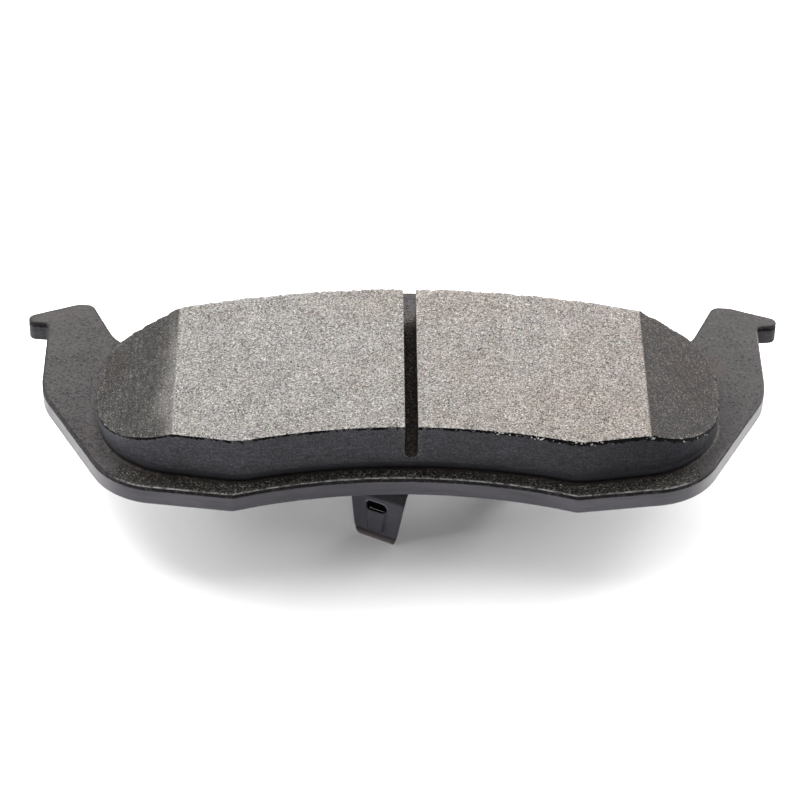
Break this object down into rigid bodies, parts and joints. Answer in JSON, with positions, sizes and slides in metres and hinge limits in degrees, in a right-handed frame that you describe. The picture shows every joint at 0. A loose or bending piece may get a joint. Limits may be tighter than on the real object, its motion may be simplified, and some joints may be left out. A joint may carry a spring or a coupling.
{
  "type": "disc brake pad",
  "caption": "Disc brake pad for a caliper's piston side: steel backing plate with hooked ears, slotted and chamfered friction block, bonded noise shim and sprung piston clip.",
  "frame": {"origin": "where the piston axis meets the back of the noise shim, which is the face the piston pushes on", "axes": "+Z out through the friction face towards the disc, +X along the pad between its two ears, +Y outward, away from the axle"},
  "size_m": [0.1721, 0.071, 0.0324],
  "materials": {
    "plate_paint": "satin dark grey paint, fine orange peel, sheared edges",
    "bond_film": "cured brown resin film",
    "underlayer": "dense pressed underlayer, dark and smooth",
    "friction": "ground friction face, light grey with a dark and white grain",
    "shim_adhesive": "cured acrylic adhesive film",
    "shim_steel": "cold rolled sheet",
    "shim_rubber": "matt nitrile rubber coat",
    "spring_steel": "dark phosphated and oiled spring steel",
    "rivet_steel": "zinc plated, pressed head"
  },
  "bodies": {
    "pad": {"backing_plate": "plate_paint", "bond_layer": "bond_film", "underlayer": "underlayer", "friction_block": "friction", "shim_adhesive": "shim_adhesive", "shim_core": "shim_steel", "shim_coating": "shim_rubber", "clip_hub": "spring_steel", "clip_rivet": "rivet_steel"},
    "leg_front": {"clip_leg_front": "spring_steel"},
    "leg_right": {"clip_leg_right": "spring_steel"},
    "leg_rear": {"clip_leg_rear": "spring_steel"}
  },
  "joints": [
    {"name": "flex_front", "type": "hinge", "parent": "pad", "child": "leg_front", "pos_m": [-0.00908, -0.01782, -0.0004], "axis": [0.891, -0.454, 0], "range_deg": [0, 6], "stiffness_Nm_per_rad": 10},
    {"name": "flex_right", "type": "hinge", "parent": "pad", "child": "leg_right", "pos_m": [0.01997, 0.00105, -0.0004], "axis": [-0.0523, 0.9986, 0], "range_deg": [0, 6], "stiffness_Nm_per_rad": 10},
    {"name": "flex_rear", "type": "hinge", "parent": "pad", "child": "leg_rear", "pos_m": [-0.01089, 0.01677, -0.0004], "axis": [-0.8387, -0.5446, 0], "range_deg": [0, 6], "stiffness_Nm_per_rad": 10}
  ]
}
